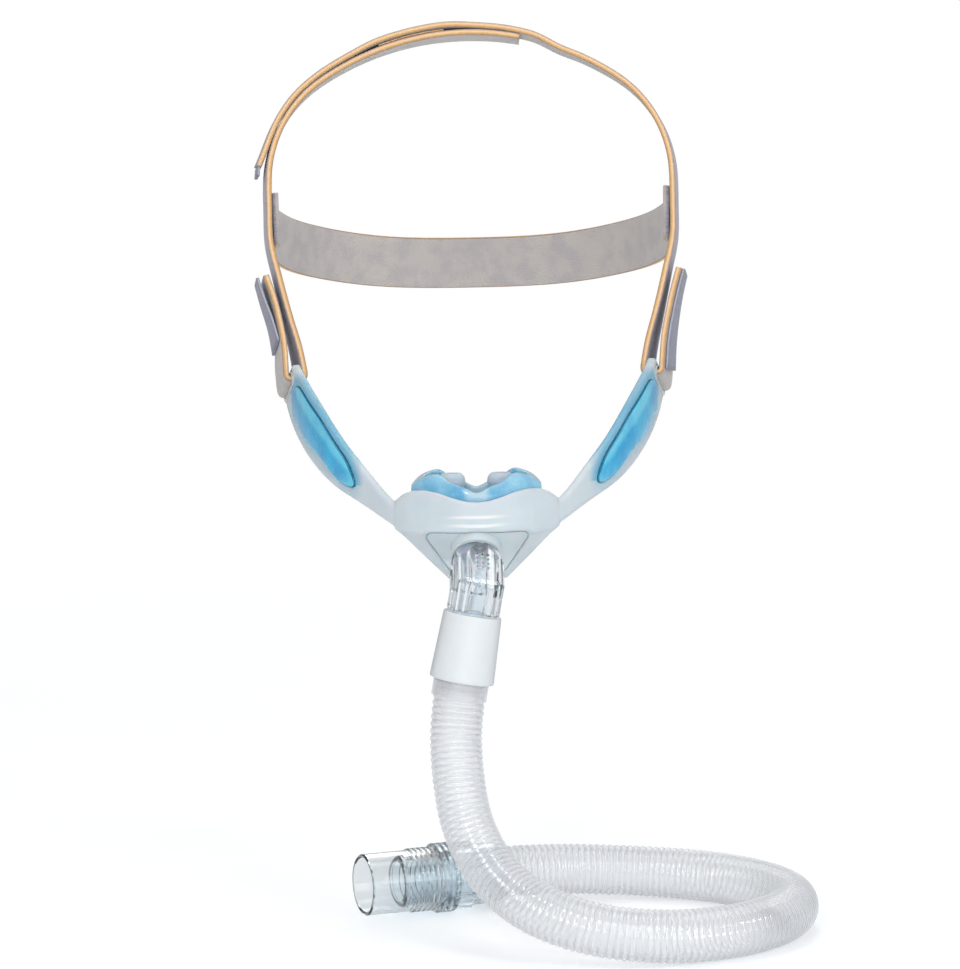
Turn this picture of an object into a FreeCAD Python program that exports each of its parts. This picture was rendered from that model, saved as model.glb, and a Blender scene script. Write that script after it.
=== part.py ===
# Nasal mask for breathing therapy: silicone frame with gel pads, nasal cushion, swivel elbow,
# short hose with a swivel connector, and fabric headgear.
# Millimetres. +X is to the right of someone facing the wearer, +Z is up and the wearer faces -Y.
# The origin is the base of the nose, between the two pillows.
import FreeCAD, Part

import math
import os

V = FreeCAD.Vector
ORIGIN = V(0, 0, 0)
X_AXIS = V(1, 0, 0)
Z_AXIS = V(0, 0, 1)

# Shield: an upright curved wall that slopes back under the nose. Its outer face passes through the place
# beside the arms' roots, as (x, y), whatever its radius is
shield_radius = 36.0
shield_beside_arm = (28.8, -6.6)
shield_wall = 2.2
shield_top = 9.0
shield_lean = 1.6
shield_slope_top = -12.5
shield_bottom = -33.4
shield_fit = 0.3

# How far a cutting form reaches past what it cuts
cut_reach = 20.0

# Upper and lower edge of the right arm, from the shield to the end in front of the ear
arm_wall = 3.2
arm_edges = [
    (V(19.0, -14.2, -3.6), V(18.0, -14.4, -14.0)),
    (V(29.0, -3.5, -3.0), V(28.5, -4.2, -11.8)),
    (V(37.0, 6.0, 4.8), V(38.5, 8.0, -6.2)),
    (V(45.0, 17.5, 13.7), V(48.5, 23.0, -1.2)),
    (V(52.0, 30.0, 22.6), V(57.5, 42.0, 5.8)),
    (V(58.8, 46.5, 31.8), V(64.8, 64.0, 15.5)),
    (V(65.1, 66.6, 40.6), V(69.8, 88.6, 29.8)),
]

# Gel pad: middle of its window, direction of its length, and its outline along and across the arm
gel_middle = V(54.4, 40.0, 16.5)
gel_along = V(0.3404, 0.7952, 0.5017)
gel_outline = [
    (31.2, -2.0), (27.0, 3.4), (15.5, 6.2), (-1.0, 8.1), (-17.5, 7.6), (-30.0, 5.2),
    (-34.0, 2.0), (-29.0, -1.2), (-12.0, -2.7), (6.5, -6.4), (20.5, -8.8), (28.8, -7.4),
]
gel_proud = 0.7
gel_fit = 0.1
gel_reach = 9.0

# Strap slot near the arm's end, and its stiff liner
slot_length = 19.0
slot_width = 3.4
slot_bar = 2.4
liner_wall = 1.2
liner_proud = 0.4
liner_fit = 0.1

# Shield's front outline right of the middle, as (x, z): the wavy top, then down to the bottom corner
shield_edge = [
    (4.0, -1.9), (8.8, -0.6), (13.0, 0.9), (18.0, 1.8), (22.5, 1.4), (25.5, 0.0), (28.5, -2.6),
    (29.0, -12.4), (25.6, -15.2), (18.0, -23.4), (10.2, -31.6),
]
shield_middle_z = -2.3
shield_depth = 5.0

# Half-moon window in the shield, as (x, z), and the clip that fills it
window_outline = [(-19.4, -12.9), (19.4, -12.9), (9.4, -28.6), (-9.4, -28.6)]
window_corner = 2.0
clip_fit = 0.15
clip_wall = 1.8
boss_radius = 8.9
boss_length = 5.5
neck_fit = 0.6
neck_depth = 9.0

# Cushion sections from the bottom up: height, half width, front y, back y, corner radius
cushion_sections = [
    (-25.0, 11.0, -15.0, 0.0, 5.0),
    (-13.0, 20.5, -24.0, 4.5, 8.0),
    (-3.0, 22.6, -26.0, 7.5, 9.0),
    (10.0, 22.6, -26.0, 8.5, 9.0),
]
cushion_wall = 1.6
deck_top = -3.2
deck_wall = 1.4

# Gel rim's top and bottom lines, as (x, top z, bottom z) for x from the middle outwards
wave_line = [(0.0, 0.6, -3.1), (6.5, 3.2, -2.4), (14.0, 7.0, 0.4), (20.0, 5.2, 0.0), (26.0, -1.0, -4.6)]
rim_width = 4.4
rim_fit = 0.05

# Pillows
pillow_x = 8.6
pillow_y = -3.0
pillow_bore = 2.5
pillow_profile = [(5.8, 0.0), (5.8, 1.1), (4.4, 2.3), (4.1, 4.2), (4.9, 6.4), (4.5, 8.4), (3.4, 9.6)]

# Elbow socket, as (x, z) and how far it stands out of the shield's slope, its axis and the elbow's section
socket_place = (-0.4, -21.2)
socket_out = 4.0
socket_tilt = 45.0
elbow_turn = -15.0
elbow_bend = 45.0
elbow_inlet = 14.1
elbow_outlet = 8.9
elbow_side = 16.6
elbow_chamfer = 2.6
mitre_flat = 0.35
elbow_bore = 5.9
elbow_gap = 0.3
spigot_radius = 7.5
spigot_end = 1.2
running_gap = 0.05
snap_ring_wall = 1.6
snap_ring_depth = 0.5
snap_ring_thickness = 1.2
snap_gap = 0.2
vent_radius = 0.45
vent_pitch = 1.9
vent_rows = 4
vent_columns = 3

# Swivel cuff and the hose's upper end
cuff_length = 24.0
cuff_top_radius = 10.2
cuff_bottom_radius = 11.3
cuff_spigot = 9.0
cuff_rim = 0.6
cuff_step = 1.0
hose_radius = 9.15
hose_bore = 7.6
hose_fit = 0.05
hose_insert = 6.5
top_ring_wall = 0.5
top_ring_length = 6.0
seat_gap = 0.1

# Connector: open end, direction and sections
connector_tip = V(-43.2, 6.1, -141.6)
connector_turn = 22.2
sleeve_radius = 11.0
sleeve_bore = 9.7
sleeve_length = 17.0
sleeve_step = 14.4
sleeve_edge = 0.5
grip_length = 9.5
grip_radius = 11.5
grip_ribs = 5
end_spigot_radius = 8.7
end_bore = 7.3
snap_bead = 0.5
snap_lip = 1.4
collar_length = 6.8
collar_radius = 12.5
collar_groove = 1.0
collar_rings = 3
scallop_count = 24
scallop_radius = 0.8
end_cuff_radius = 10.9
end_cuff_length = 18.6
end_insert = 10.0
lug_count = 6
lug_height = 1.1
lug_width = 2.4
lug_length = 8.0
lug_root = 1.0
end_chamfer = 1.0

# Hose route between its two ends, hanging from the cuff and lying on a table in a loose loop
first_run = 18.5
last_run = 24.8
hose_route = [
    V(-8.8, -32.4, -93.5),
    V(-5.1, -45.4, -115.2),
    V(8.6, -64.7, -132.6),
    V(32.9, -79.0, -141.3),
    V(62.1, -80.4, -144.8),
    V(90.8, -66.2, -145.05),
    V(108.1, -38.0, -145.05),
    V(107.4, -4.9, -145.05),
    V(87.4, 25.2, -145.05),
    V(54.0, 38.7, -144.4),
]

# Folded-back ends as (x, z) from the free end down, and the inner layer's (x, y, z, turn towards the slot)
outer_line_right = [(77.0, 71.0), (75.0, 63.5), (73.0, 54.0), (71.6, 46.0)]
outer_line_left = [(76.8, 71.0), (74.6, 64.0), (72.4, 54.0), (71.2, 46.0)]
inner_layer = [
    (65.6, 81.0, 43.5, 0.75),
    (68.6, 84.2, 55.5, 0.35),
    (72.2, 86.2, 71.0, 0.1),
    (75.0, 87.8, 84.0, 0.0),
]
fold_forward = 4.0
slot_clearance = 0.3

# Headgear: an oval of two side lines, two corner arcs and a crown arc, in a plane that leans back
strap_wall = 2.2
strap_width = 18.0
layer_gap = 0.15
head_half_width = 75.3
head_corner_radius = 44.8
head_crown_radius = 100.0
head_crown_z = 159.4
strap_plane_y = 84.0
strap_plane_z = 60.0
strap_lean = 8.0
side_flare = 6.5
strap_side_low = 97.0
hook_angles = (95, 99, 104, 109)
under_end_angle = 79.0
lift_start_angle = 70.0
free_end_angle = 8.0
free_tip_angle = 3.6
free_end_flare = 1.5
hook_wall = 0.8
hook_width = 15.0
tab_wall = 1.1
tab_width = 16.0
tab_bulge = [1.4, 1.6, 0.6, 0.0]
back_strap_width = 20.0
back_depth = 197.0
back_z = 70.0
back_lean = 0.12

# Back strap's line: beside the ear as (outward, y, z), then round the corner as (share of half width, y, z)
back_side = [
    (-0.9, 83.0, 93.0),
    (0.1, 92.0, 92.3),
    (1.1, 100.5, 91.5),
    (2.8, 113.0, 89.5),
    (3.0, 128.0, 86.5),
]
back_corner = [(0.958, 146.0, 82.0), (0.797, 170.0, 76.5), (0.465, 189.5, 71.5)]
back_stations = 33


def unit(vector):
    return V(vector).normalize()


def rad(degrees):
    return math.radians(degrees)


def mirrored(shape):
    return shape.mirror(ORIGIN, X_AXIS)


def placed(shape, point, z_dir, x_hint):
    """The shape with its origin at point, its Z axis along z_dir and its X axis near x_hint."""
    z = unit(z_dir)
    y = z.cross(x_hint).normalize()
    x = y.cross(z)
    moved = shape.copy()
    moved.Placement = FreeCAD.Placement(point, FreeCAD.Rotation(x, y, z, "ZXY")).multiply(shape.Placement)
    return moved


def rounded_y(prism, radius):
    """The prism with its edges along Y rounded."""
    edges = [e for e in prism.Edges if len(e.Vertexes) == 2 and abs(e.tangentAt(e.FirstParameter).y) > 0.99]
    return prism.makeFillet(radius, edges)


def closed_face(points):
    return Part.Face(Part.makePolygon(points + [points[0]]))


def revolved(profile):
    """A solid of revolution about Z from (radius, height) pairs."""
    return closed_face([V(r, 0, z) for r, z in profile]).revolve(ORIGIN, Z_AXIS, 360)


def prism_y(outline, start, end):
    """A closed outline of (x, z) pairs carried along Y."""
    return closed_face([V(x, start, z) for x, z in outline]).extrude(V(0, end - start, 0))


def band(stations, wall):
    """A strap lofted through stations of centre, direction across and width."""
    wires = []
    last = len(stations) - 1
    for i, (centre, across, width) in enumerate(stations):
        along = unit(stations[min(i + 1, last)][0] - stations[max(i - 1, 0)][0])
        out = along.cross(across).normalize()
        side = out.cross(along).normalize() * (width / 2)
        thick = out * (wall / 2)
        corner = centre + side + thick
        corners = [corner, centre - side + thick, centre - side - thick, centre + side - thick, corner]
        wires.append(Part.makePolygon(corners))
    return Part.makeLoft(wires, True, True)


def export(name, shape):
    solid = shape.removeSplitter()
    solids = solid.Solids
    print(f"{name:18s} solids {len(solids)} valid {solid.isValid()} volume {solid.Volume:9.1f}")
    solid = solids[0] if len(solids) == 1 else Part.makeCompound(solids)
    solid.exportStep(f"parts/{name}.step")
    return solid


# Arm sections


def arm_normal(i):
    mids = [(upper + lower) * 0.5 for upper, lower in arm_edges]
    along = mids[min(i + 1, len(mids) - 1)] - mids[max(i - 1, 0)]
    upper, lower = arm_edges[i]
    return along.cross(upper - lower).normalize()


def arm_section(i, wall):
    """Two flat faces joined by two round edges."""
    upper, lower = arm_edges[i]
    down = unit(lower - upper) * (wall / 2)
    out = arm_normal(i) * (wall / 2)
    a = upper + down
    b = lower - down
    edges = [
        Part.Arc(a - out, upper, a + out).toShape(),
        Part.LineSegment(a + out, b + out).toShape(),
        Part.Arc(b + out, lower, b - out).toShape(),
        Part.LineSegment(b - out, a - out).toShape(),
    ]
    return Part.Wire(edges)


def arm_solid(wall):
    return Part.makeLoft([arm_section(i, wall) for i in range(len(arm_edges))], True, False)


def lens_prism(shrink):
    """The gel window's outline, drawn in by shrink and carried through the arm."""
    points = [V(x, y, -gel_reach) for x, y in gel_outline]
    inner = []
    for i, point in enumerate(points):
        along = unit(points[(i + 1) % len(points)] - points[i - 1])
        inner.append(point + Z_AXIS.cross(along) * shrink)
    curve = Part.BSplineCurve()
    curve.interpolate(inner, PeriodicFlag=True)
    prism = Part.Face(Part.Wire(curve.toShape())).extrude(V(0, 0, 2 * gel_reach))
    return placed(prism, gel_middle, arm_normal(4), gel_along)


# Slot frame at the arm's end: middle of the end edge, directions along it, out of the arm and up the strap
end_upper, end_lower = arm_edges[-1]
slot_across = unit(end_lower - end_upper)
slot_out = arm_normal(len(arm_edges) - 1)
slot_up = slot_out.cross(slot_across).normalize()
arm_end = (end_upper + end_lower) * 0.5
bar_centre = arm_end - slot_up * (slot_bar / 2)
slot_centre = arm_end - slot_up * (slot_bar + slot_width / 2)


def slot_prism(grow, height):
    """A round-ended slot, grown on all sides, through the arm's thickness."""
    r = slot_width / 2 + grow
    x = (slot_length - slot_width) / 2
    edges = [
        Part.LineSegment(V(-x, -r, 0), V(x, -r, 0)).toShape(),
        Part.Arc(V(x, -r, 0), V(x + r, 0, 0), V(x, r, 0)).toShape(),
        Part.LineSegment(V(x, r, 0), V(-x, r, 0)).toShape(),
        Part.Arc(V(-x, r, 0), V(-x - r, 0, 0), V(-x, -r, 0)).toShape(),
    ]
    prism = Part.Face(Part.Wire(edges)).extrude(V(0, 0, height))
    prism.translate(V(0, 0, -height / 2))
    return placed(prism, slot_centre, slot_out, slot_across)


# Shield: the wall's outer line is turned about an upright axis behind the nose
beside_x, beside_y = shield_beside_arm
shield_axis = V(0, beside_y + math.sqrt(shield_radius**2 - beside_x**2), 0)


def shield_region(inset):
    """Everything inside the shield's outer surface, moved in by inset."""
    slant = inset * math.sqrt(2)
    r = shield_radius - inset
    drop = shield_slope_top - shield_bottom
    corner_z = shield_slope_top + slant - inset
    profile = [
        (0.0, shield_top),
        (r - shield_lean, shield_top),
        (r, 0.0),
        (r, corner_z),
        (r - drop, corner_z - drop),
        (0.0, corner_z - drop),
    ]
    region = revolved(profile)
    region.translate(shield_axis)
    return region


def shield_outline():
    right = shield_edge
    left = [(-x, z) for x, z in reversed(shield_edge)]
    return [(0.0, shield_middle_z)] + right + left


def wave_z(x, line):
    """Height of one of the gel rim's two lines, eased between the listed points."""
    x = abs(x)
    for near, far in zip(wave_line, wave_line[1:]):
        if x <= far[0]:
            t = (x - near[0]) / (far[0] - near[0])
            return near[line] + (far[line] - near[line]) * (3 * t * t - 2 * t * t * t)
    return wave_line[-1][line]


def below_wave(line, drop=0.0):
    """The space under the rim's top (1) or bottom (2) line, lowered by drop."""
    reach = wave_line[-1][0]
    count = 8
    xs = [reach * i / count for i in range(-count, count + 1)]
    curve = Part.BSplineCurve()
    curve.interpolate([V(x, -reach * 2, wave_z(x, line) - drop) for x in xs])
    floor_z = shield_bottom * 2
    left, right = curve.StartPoint, curve.EndPoint
    low_left = V(left.x, left.y, floor_z)
    low_right = V(right.x, right.y, floor_z)
    corners = [right, low_right, low_left, left]
    sides = [Part.makeLine(a, b) for a, b in zip(corners, corners[1:])]
    return Part.Face(Part.Wire([curve.toShape()] + sides)).extrude(V(0, reach * 4, 0))


def round_rectangle(half_width, front, back, corner, z):
    w = half_width
    c = corner
    k = c * (1 - math.sqrt(0.5))
    edges = [
        Part.LineSegment(V(-w + c, front, z), V(w - c, front, z)).toShape(),
        Part.Arc(V(w - c, front, z), V(w - k, front + k, z), V(w, front + c, z)).toShape(),
        Part.LineSegment(V(w, front + c, z), V(w, back - c, z)).toShape(),
        Part.Arc(V(w, back - c, z), V(w - k, back - k, z), V(w - c, back, z)).toShape(),
        Part.LineSegment(V(w - c, back, z), V(-w + c, back, z)).toShape(),
        Part.Arc(V(-w + c, back, z), V(-w + k, back - k, z), V(-w, back - c, z)).toShape(),
        Part.LineSegment(V(-w, back - c, z), V(-w, front + c, z)).toShape(),
        Part.Arc(V(-w, front + c, z), V(-w + k, front + k, z), V(-w + c, front, z)).toShape(),
    ]
    return Part.Wire(edges)


def cushion_form(inset):
    """The cushion's outer form, drawn in on every side and raised at the bottom by inset."""
    wires = []
    for i, (z, half_width, front, back, corner) in enumerate(cushion_sections):
        level = z + inset if i == 0 else z
        radius = corner - inset * 0.6
        wires.append(round_rectangle(half_width - inset, front + inset, back - inset, radius, level))
    form = Part.makeLoft(wires, True, False)
    return form.common(shield_region(shield_wall + shield_fit + inset))


# Elbow axes
socket_x, socket_z = socket_place
slope_y = shield_axis.y - shield_radius + shield_slope_top - socket_z
socket = V(socket_x, slope_y - socket_out, socket_z)
tilt = rad(socket_tilt)
socket_axis = V(0, -math.cos(tilt), -math.sin(tilt))
straight_down = V(0, math.sin(tilt), -math.cos(tilt))
elbow_down = straight_down * math.cos(rad(elbow_turn)) + X_AXIS * math.sin(rad(elbow_turn))
outlet_axis = socket_axis * math.cos(rad(elbow_bend)) + elbow_down * math.sin(rad(elbow_bend))
elbow_across = socket_axis.cross(elbow_down).normalize()
bend_point = socket + socket_axis * elbow_inlet
cuff_top = bend_point + outlet_axis * elbow_outlet


def along_socket(shape):
    return placed(shape, socket, socket_axis, elbow_across)


def along_outlet(shape):
    return placed(shape, cuff_top, outlet_axis, elbow_across)


def tube_between(start, direction, radius, length):
    return Part.makeCylinder(radius, length, start, direction)


def elbow_limb(start, axis, length):
    """A square limb with chamfered corners."""
    h = elbow_side / 2
    c = h - elbow_chamfer
    outline = [(c, -h), (h, -c), (h, c), (c, h), (-c, h), (-h, c), (-h, -c), (-c, -h)]
    limb = closed_face([V(x, y, 0) for x, y in outline]).extrude(V(0, 0, length))
    return placed(limb, start, axis, elbow_across)


def elbow_solid():
    reach = 2 * cut_reach
    cutter = Part.makeBox(2 * reach, 2 * reach, reach, V(-reach, -reach, 0))
    beyond = placed(cutter, bend_point, socket_axis + outlet_axis, elbow_across)
    inlet_limb = elbow_limb(socket + socket_axis * elbow_gap, socket_axis, elbow_inlet * 2)
    cone = along_socket(Part.makeCone(elbow_side / 2, elbow_side, elbow_inlet * 2, V(0, 0, elbow_gap)))
    inlet_limb = inlet_limb.common(cone).cut(beyond)
    outlet_start = cuff_top - outlet_axis * (elbow_outlet * 2)
    outlet_limb = elbow_limb(outlet_start, outlet_axis, elbow_outlet * 2).common(beyond)
    back = boss_length + snap_gap + snap_ring_thickness + spigot_end
    inlet_spigot = tube_between(socket - socket_axis * back, socket_axis, spigot_radius, back + elbow_gap)
    outlet_spigot = tube_between(cuff_top, outlet_axis, spigot_radius, cuff_spigot)
    solid = inlet_limb.fuse([outlet_limb, inlet_spigot, outlet_spigot])
    groove_radius = spigot_radius - snap_ring_depth
    groove = [
        (groove_radius, -boss_length - snap_gap - snap_ring_thickness),
        (spigot_radius + 1, -boss_length - snap_gap - snap_ring_thickness),
        (spigot_radius + 1, -boss_length - snap_gap),
        (groove_radius, -boss_length - snap_gap),
    ]
    bore = [
        tube_between(socket - socket_axis * (back + 1), socket_axis, elbow_bore, elbow_inlet + back + 1),
        tube_between(bend_point, outlet_axis, elbow_bore, elbow_outlet + cuff_spigot + 1),
        Part.makeSphere(elbow_bore, bend_point),
        along_socket(revolved(groove)),
    ]
    half_bend = rad(elbow_bend / 2)
    outer_corner = socket_axis * math.sin(half_bend) - elbow_down * math.cos(half_bend)
    flat_at = elbow_side / 2 / math.cos(half_bend) - mitre_flat
    bore.append(placed(cutter, bend_point + outer_corner * flat_at, outer_corner, elbow_across))
    for row in range(vent_rows):
        for column in range(vent_columns):
            u = (column - (vent_columns - 1) / 2) * vent_pitch
            w = elbow_inlet * 0.62 + (row - (vent_rows - 1) / 2) * vent_pitch
            foot = socket + socket_axis * w + elbow_across * u
            bore.append(tube_between(foot, elbow_down * -1, vent_radius, elbow_side))
    return solid.cut(bore)


# Cuff and top ring, about the outlet axis


def cuff_solid():
    hose_seat = hose_radius + hose_fit
    profile = [
        (spigot_radius + running_gap, elbow_gap),
        (cuff_top_radius - cuff_rim, elbow_gap),
        (cuff_top_radius - cuff_rim * 0.3, elbow_gap + cuff_rim * 0.3),
        (cuff_top_radius, elbow_gap + cuff_rim),
        (cuff_bottom_radius, cuff_length - cuff_rim),
        (cuff_bottom_radius - cuff_rim * 0.3, cuff_length - cuff_rim * 0.3),
        (cuff_bottom_radius - cuff_rim, cuff_length),
        (hose_seat, cuff_length),
        (hose_seat, cuff_length - hose_insert),
        (hose_bore, cuff_length - hose_insert),
        (hose_bore, cuff_spigot + cuff_step * 1.5),
        (spigot_radius + running_gap, cuff_spigot + cuff_step),
    ]
    return along_outlet(revolved(profile))


def top_ring_solid():
    inner = hose_radius + hose_fit
    outer = inner + top_ring_wall
    top = cuff_length + seat_gap
    bottom = cuff_length + top_ring_length
    profile = [(inner, top), (outer, top), (outer, bottom), (inner, bottom)]
    return along_outlet(revolved(profile))


# Connector, measured from its open end towards the hose
turn = rad(connector_turn)
connector_axis = V(math.cos(turn), math.sin(turn), 0)


def along_connector(shape):
    return placed(shape, connector_tip, connector_axis, Z_AXIS)


grip_end = sleeve_length + grip_length
collar_start = grip_end + snap_gap
collar_end = collar_start + collar_length
end_cuff_end = collar_end + end_cuff_length
hose_end_at = end_cuff_end - end_insert


def sleeve_solid():
    bore = end_spigot_radius + running_gap
    profile = [(bore, sleeve_step), (sleeve_bore, sleeve_step), (sleeve_bore, sleeve_edge)]
    profile += [(sleeve_bore + sleeve_edge * 0.8, 0.0), (sleeve_radius - sleeve_edge * 0.8, 0.0)]
    profile += [(sleeve_radius, sleeve_edge), (sleeve_radius, sleeve_length)]
    pitch = grip_length / grip_ribs
    for i in range(grip_ribs):
        z = sleeve_length + pitch * i
        profile += [(sleeve_radius, z + pitch * 0.2), (grip_radius, z + pitch * 0.4)]
        profile += [(grip_radius, z + pitch * 0.8), (sleeve_radius, z + pitch)]
    profile += [(bore, grip_end)]
    return along_connector(revolved(profile))


def collar_solid():
    profile = [(end_spigot_radius, collar_end), (end_spigot_radius, collar_start)]
    pitch = collar_length / collar_rings
    for i in range(collar_rings):
        z = collar_start + pitch * i
        low = collar_radius - collar_groove
        profile += [(low, z), (collar_radius, z + pitch * 0.25)]
        profile += [(collar_radius, z + pitch * 0.75), (low, z + pitch)]
    scallops = []
    for i in range(scallop_count):
        angle = 2 * math.pi * i / scallop_count
        reach = collar_radius + scallop_radius * 0.4
        foot = V(reach * math.cos(angle), reach * math.sin(angle), collar_end - pitch)
        scallops.append(Part.makeCylinder(scallop_radius, pitch + 1, foot))
    return along_connector(revolved(profile).cut(scallops))


def end_cuff_solid():
    tip = sleeve_step - snap_lip
    bead = end_spigot_radius + snap_bead
    profile = [
        (end_bore, tip),
        (end_spigot_radius, tip),
        (bead, tip + snap_bead),
        (bead, sleeve_step - snap_gap),
        (end_spigot_radius, sleeve_step - snap_gap),
        (end_spigot_radius, collar_end),
        (end_cuff_radius, collar_end),
        (end_cuff_radius, end_cuff_end - end_chamfer),
        (end_cuff_radius - end_chamfer, end_cuff_end),
        (hose_radius + hose_fit, end_cuff_end),
        (hose_radius + hose_fit, hose_end_at),
        (end_bore, hose_end_at),
    ]
    cuff = revolved(profile)
    lugs = []
    for i in range(lug_count):
        lug = Part.makeBox(lug_root + lug_height, lug_width, lug_length)
        lug.translate(V(end_cuff_radius - lug_root, -lug_width / 2, collar_end))
        lug.rotate(ORIGIN, Z_AXIS, 360 / lug_count * i)
        lugs.append(lug)
    return along_connector(cuff.fuse(lugs))


# Hose: straight runs joined by tangent arcs


def hose_points():
    start = cuff_top + outlet_axis * (cuff_length - hose_insert)
    end = connector_tip + connector_axis * hose_end_at
    return [start, start + outlet_axis * first_run] + hose_route + [end + connector_axis * last_run, end]


def hose_path(points):
    edges = []
    radii = []
    last = points[0]
    for before, corner, after in zip(points, points[1:], points[2:]):
        back = before - corner
        on = after - corner
        trim = 0.45 * min(back.Length, on.Length)
        turned = math.pi - back.getAngle(on)
        radius = trim / math.tan(turned / 2)
        a = corner + unit(back) * trim
        b = corner + unit(on) * trim
        middle_dir = unit(unit(back) + unit(on))
        centre = corner + middle_dir * math.hypot(radius, trim)
        edges.append(Part.LineSegment(last, a).toShape())
        edges.append(Part.Arc(a, centre - middle_dir * radius, b).toShape())
        radii.append(radius)
        last = b
    edges.append(Part.LineSegment(last, points[-1]).toShape())
    print("hose arc radii", [round(r, 1) for r in radii])
    return Part.Wire(edges)


def hose_solid():
    points = hose_points()
    path = hose_path(points)
    axis = points[1] - points[0]
    discs = [Part.Face(Part.Wire(Part.makeCircle(r, points[0], axis))) for r in (hose_radius, hose_bore)]
    tube = path.makePipe(discs[0].cut(discs[1]).Faces[0])
    straight_volume = math.pi * (hose_radius**2 - hose_bore**2) * path.Length
    share = tube.Volume / straight_volume
    print(f"hose length {path.Length:.1f}, volume over section times length {share:.4f}")
    return tube


# Headgear
crown_centre_z = head_crown_z - head_crown_radius
corner_x = head_half_width - head_corner_radius
corner_z = crown_centre_z + math.sqrt((head_crown_radius - head_corner_radius) ** 2 - corner_x**2)
corner_angle = math.degrees(math.atan2(corner_z - crown_centre_z, corner_x))
strap_up = V(0, math.sin(rad(strap_lean)), math.cos(rad(strap_lean)))
strap_back = V(0, math.cos(rad(strap_lean)), -math.sin(rad(strap_lean)))


def on_plane(x, z):
    return V(x, strap_plane_y + (z - strap_plane_z) * math.tan(rad(strap_lean)), z)


def across_at(angle):
    """Direction across the strap where its outward normal stands at angle above the side."""
    lean_out = rad(side_flare) * math.cos(rad(angle))
    out = X_AXIS * math.cos(rad(angle)) + strap_up * math.sin(rad(angle))
    return strap_back * math.cos(lean_out) + out * math.sin(abs(lean_out))


def oval_station(angle, offset, width):
    """A station on the head's oval; angles run from 0 at the right side through 90 at the crown."""
    mirror = angle > 90
    a = 180 - angle if mirror else angle
    if a < corner_angle:
        x = corner_x + (head_corner_radius + offset) * math.cos(rad(a))
        z = corner_z + (head_corner_radius + offset) * math.sin(rad(a))
    else:
        x = (head_crown_radius + offset) * math.cos(rad(a))
        z = crown_centre_z + (head_crown_radius + offset) * math.sin(rad(a))
    point = on_plane(-x if mirror else x, z)
    return (point, across_at(angle), width)


def flipped(stations):
    return [(V(-p.x, p.y, p.z), V(-d.x, d.y, d.z), w) for p, d, w in stations]


def blend(a, b, t):
    return unit(a * (1 - t) + b * t)


def outer_layer(line):
    """Stations of the folded-back end, from its free end down to the slot, through (x, z) points."""
    side = across_at(0)
    stations = []
    for i, (x, z) in enumerate(line):
        t = (i + 1) / len(line)
        place = on_plane(x, z) - V(0, fold_forward * t**3, 0)
        stations.append((place, blend(side, slot_across, 0.8 * t * t), strap_width))
    return stations


def strap_loop(line):
    """Stations of a right strap's lower end: folded-back layer, turn round the bar, inner layer."""
    lift = arm_wall / 2 + liner_proud + slot_clearance + strap_wall / 2
    drop = slot_bar / 2 + slot_width / 2
    bend = slot_clearance + strap_wall / 2
    quarter = []
    for angle in (0, 45, 90):
        out = lift - bend + bend * math.cos(rad(angle))
        quarter.append((out, bend - drop - bend * math.sin(rad(angle))))
    turn_path = [(lift, bend)] + quarter + [(-out, up) for out, up in reversed(quarter)] + [(-lift, bend)]
    stations = outer_layer(line)
    width = strap_width - slot_clearance
    for out, up in turn_path:
        stations.append((bar_centre + slot_out * out + slot_up * up, slot_across, width))
    side = across_at(0)
    for x, y, z, t in inner_layer:
        stations.append((V(x, y, z), blend(side, slot_across, t), strap_width))
    stations.append((on_plane(head_half_width, strap_side_low), side, strap_width))
    return stations


def raised(stations, lifts, width):
    """The first stations of a list, moved out along their normals."""
    moved = []
    for i, lift in enumerate(lifts):
        centre, across, _ = stations[i]
        along = stations[i + 1][0] - stations[max(i - 1, 0)][0]
        moved.append((centre + along.cross(across).normalize() * lift, across, width))
    return moved


crown_over = strap_wall + layer_gap
crown_hooked = crown_over + hook_wall + layer_gap


def right_strap_stations():
    over = crown_over
    stations = strap_loop(outer_line_right)
    heights = [(a, 0) for a in (0, 7, 14, 21, 28, 35, 42, 48, corner_angle, 59, 65, lift_start_angle)]
    heights += [(76, over * 0.8), (81, over), (88, over + 0.2)] + [(a, crown_hooked) for a in hook_angles]
    heights += [(115, over + 0.3)] + [(a, over) for a in (180 - corner_angle, 132, 138, 145, 152, 159)]
    heights += [(166, over + free_end_flare * 0.3), (180 - free_end_angle, over + free_end_flare)]
    return stations + [oval_station(angle, offset, strap_width) for angle, offset in heights]


def left_strap_stations():
    stations = flipped(strap_loop(outer_line_left))
    angles = (180, 173, 166, 159, 152, 145, 138, 132, 180 - corner_angle, 120, 115)
    angles += hook_angles[::-1] + (88, 84, under_end_angle)
    return stations + [oval_station(angle, 0, strap_width) for angle in angles]


def back_strap_solid():
    """The strap round the back, along a smooth line."""
    inner_x = head_half_width - strap_wall - 2 * layer_gap
    half = [V(inner_x + out, y, z) for out, y, z in back_side]
    half += [V(head_half_width * x_share, y, z) for x_share, y, z in back_corner]
    line = Part.BSplineCurve()
    middle = V(0, back_depth, back_z)
    line.interpolate(half + [middle] + [V(-p.x, p.y, p.z) for p in reversed(half)])
    up = V(0, -back_lean, 1).normalize()
    points = line.discretize(Number=back_stations)
    return band([(point, up, back_strap_width) for point in points], strap_wall)


os.makedirs("parts", exist_ok=True)

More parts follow.
